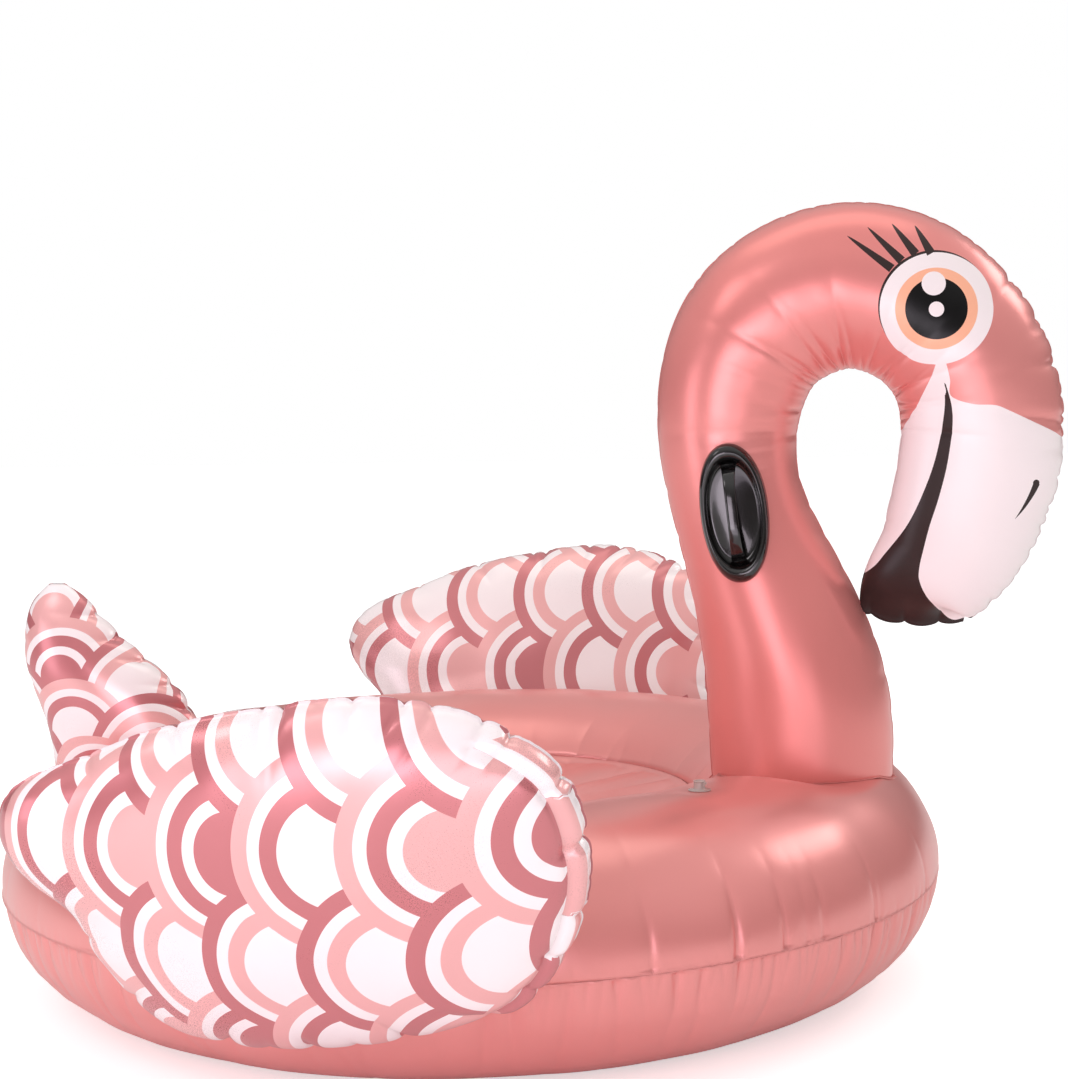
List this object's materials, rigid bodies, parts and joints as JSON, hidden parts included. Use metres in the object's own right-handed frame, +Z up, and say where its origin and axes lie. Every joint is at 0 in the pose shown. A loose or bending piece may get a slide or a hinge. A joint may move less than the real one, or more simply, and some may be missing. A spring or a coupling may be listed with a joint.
{
  "type": "inflatable pool float",
  "caption": "Flamingo-shaped inflatable ride-on pool float: ring seat, arched neck with grab handles, raised wings and tail, and capped air valves.",
  "frame": {"origin": "middle of the whole float's bounding box, on the floor it stands on", "axes": "+X forward, the way the bird looks; +Y to the bird's left; +Z up"},
  "size_m": [1.404, 1.6646, 1.006],
  "materials": {
    "rose_gold_film": "pearl rose gold PVC film",
    "printed_film": "glossy PVC film printed with overlapping pink and white arcs",
    "black_moulding": "glossy black flexible PVC moulding",
    "clear_moulding": "clear flexible PVC moulding"
  },
  "bodies": {
    "float": {"ring_upper_panel": "rose_gold_film", "ring_lower_panel": "rose_gold_film", "seat_floor": "rose_gold_film", "neck_right_panel": "rose_gold_film", "neck_left_panel": "rose_gold_film", "tail_right_panel": "printed_film", "tail_left_panel": "printed_film", "right_wing_outer_panel": "printed_film", "right_wing_inner_panel": "printed_film", "left_wing_outer_panel": "printed_film", "left_wing_inner_panel": "printed_film", "right_handle_tub": "black_moulding", "right_handle_grip": "black_moulding", "left_handle_tub": "black_moulding", "left_handle_grip": "black_moulding", "ring_valve_body": "clear_moulding", "ring_valve_flap": "clear_moulding", "neck_valve_body": "clear_moulding", "neck_valve_flap": "clear_moulding"},
    "ring_cap": {"ring_valve_cap": "clear_moulding"},
    "neck_cap": {"neck_valve_cap": "clear_moulding"}
  },
  "joints": [
    {"name": "ring_valve_cap_hinge", "type": "hinge", "parent": "float", "child": "ring_cap", "pos_m": [0.26836, -0.29582, 0.31215], "axis": [0.6494, 0.7604, 0], "range_deg": [0, 150]},
    {"name": "neck_valve_cap_hinge", "type": "hinge", "parent": "float", "child": "neck_cap", "pos_m": [0.27986, 0.09093, 0.40404], "axis": [0.817, 0.5766, 0], "range_deg": [0, 150]}
  ]
}
